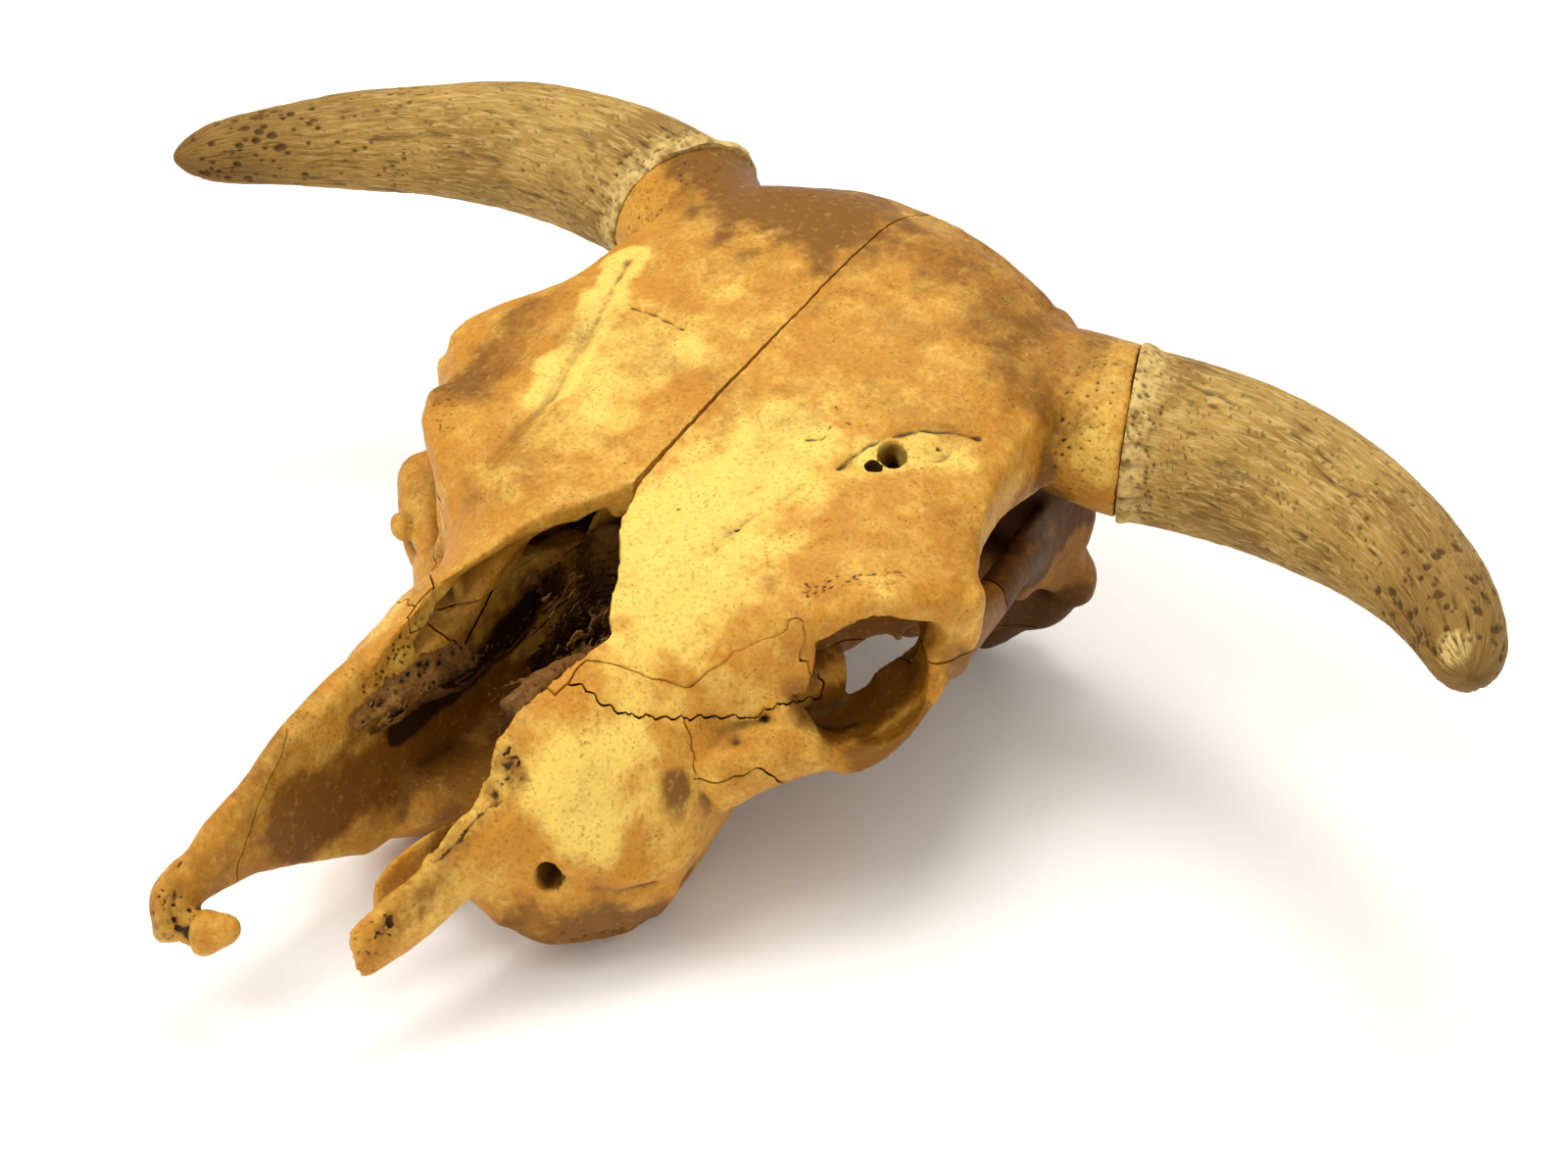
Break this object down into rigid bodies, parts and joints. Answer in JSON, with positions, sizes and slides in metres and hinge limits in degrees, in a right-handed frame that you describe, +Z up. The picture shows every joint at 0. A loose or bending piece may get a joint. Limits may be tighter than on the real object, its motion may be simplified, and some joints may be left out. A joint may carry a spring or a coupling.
{
  "type": "cow skull",
  "caption": "Life-size skull of a young horned cow with open sutures, bare horn cores, an open nose and hollow eye sockets, lying on its upper jaw and nape.",
  "frame": {"origin": "centre of the footprint, on the plane the skull rests on", "axes": "+X to the animal's left, +Y from the muzzle to the poll, +Z up"},
  "size_m": [0.666, 0.442, 0.2067],
  "materials": {
    "face_bone": "warm ochre dry bone, satin where it is smooth and matt in its pits",
    "dark_hind_bone": "brown stained dry bone, matt",
    "horn_core_bone": "greyish tan porous bone with long grooves, matt",
    "inner_nose_bone": "thin dark brown bone, matt"
  },
  "bodies": {
    "root": {"frontal_left": "face_bone", "frontal_right": "face_bone", "lacrimal_left": "face_bone", "lacrimal_right": "face_bone", "zygomatic_left": "face_bone", "zygomatic_right": "face_bone", "maxilla_left": "face_bone", "maxilla_right": "face_bone", "premaxilla_right": "face_bone", "temporal_left": "dark_hind_bone", "temporal_right": "dark_hind_bone", "occipital": "dark_hind_bone", "braincase": "dark_hind_bone", "concha_left": "inner_nose_bone", "concha_right": "inner_nose_bone", "ethmoid": "inner_nose_bone", "horn_core_left": "horn_core_bone", "horn_core_right": "horn_core_bone"}
  },
  "joints": []
}
